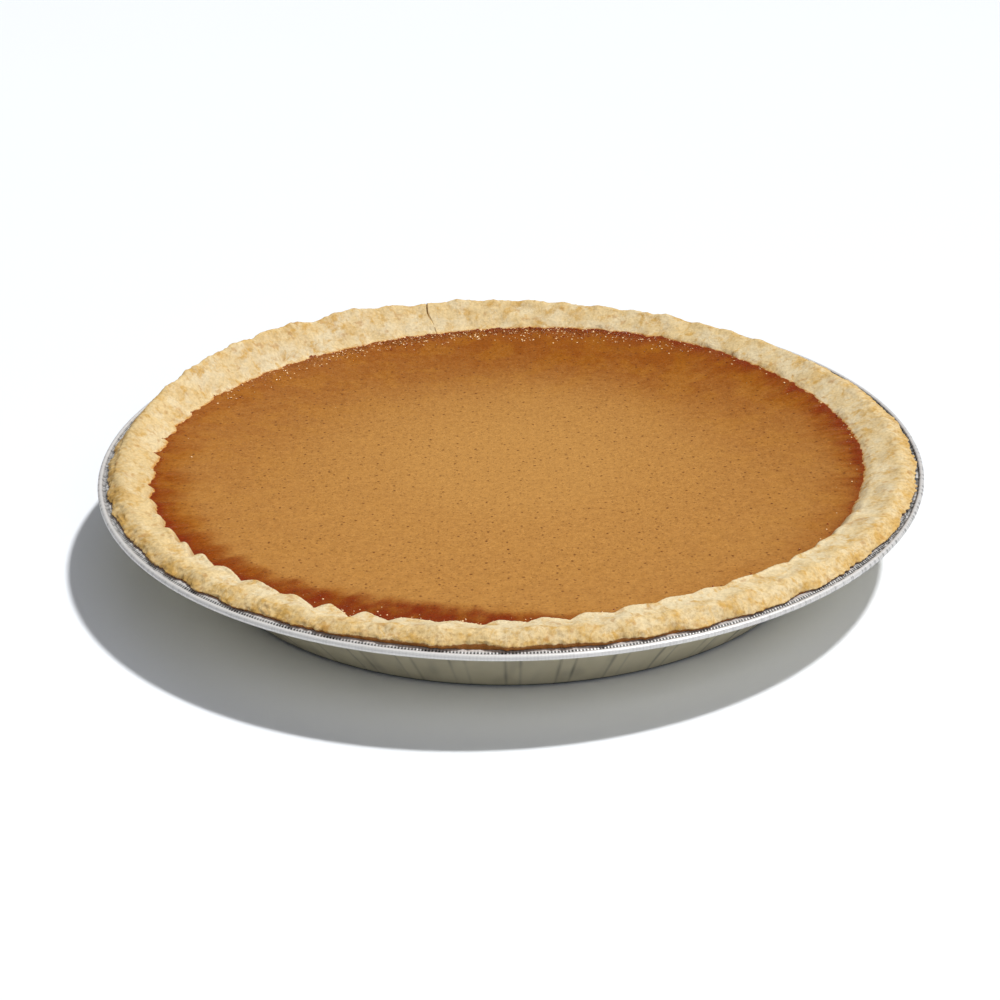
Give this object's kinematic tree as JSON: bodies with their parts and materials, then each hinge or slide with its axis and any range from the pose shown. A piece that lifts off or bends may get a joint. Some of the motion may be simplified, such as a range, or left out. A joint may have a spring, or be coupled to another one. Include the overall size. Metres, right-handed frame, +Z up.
{
  "type": "pumpkin pie",
  "caption": "Round open-topped custard pie in a pleated foil tin: smooth orange-brown filling with a darker baked edge, uneven pale pastry rim with a hairline crack at the back",
  "frame": {"origin": "centre of the tin's flat base, on the surface that it stands on", "axes": "+Z up out of the filling, -Y towards the viewer of the picture, +X to the viewer's right"},
  "size_m": [0.2218, 0.2218, 0.0312],
  "materials": {
    "foil": "thin pressed foil, satin, with pleats in the wall, a finely wrinkled flange and a bright rolled bead",
    "pastry": "baked shortcrust, matt, cream with golden-brown patches and a browner ragged outer edge",
    "custard": "baked pumpkin custard, satin skin with fine specks of spice, darker and glossier in a ring at the crust"
  },
  "bodies": {
    "root": {"foil_tin": "foil", "pie_crust": "pastry", "pumpkin_filling": "custard"}
  },
  "joints": []
}
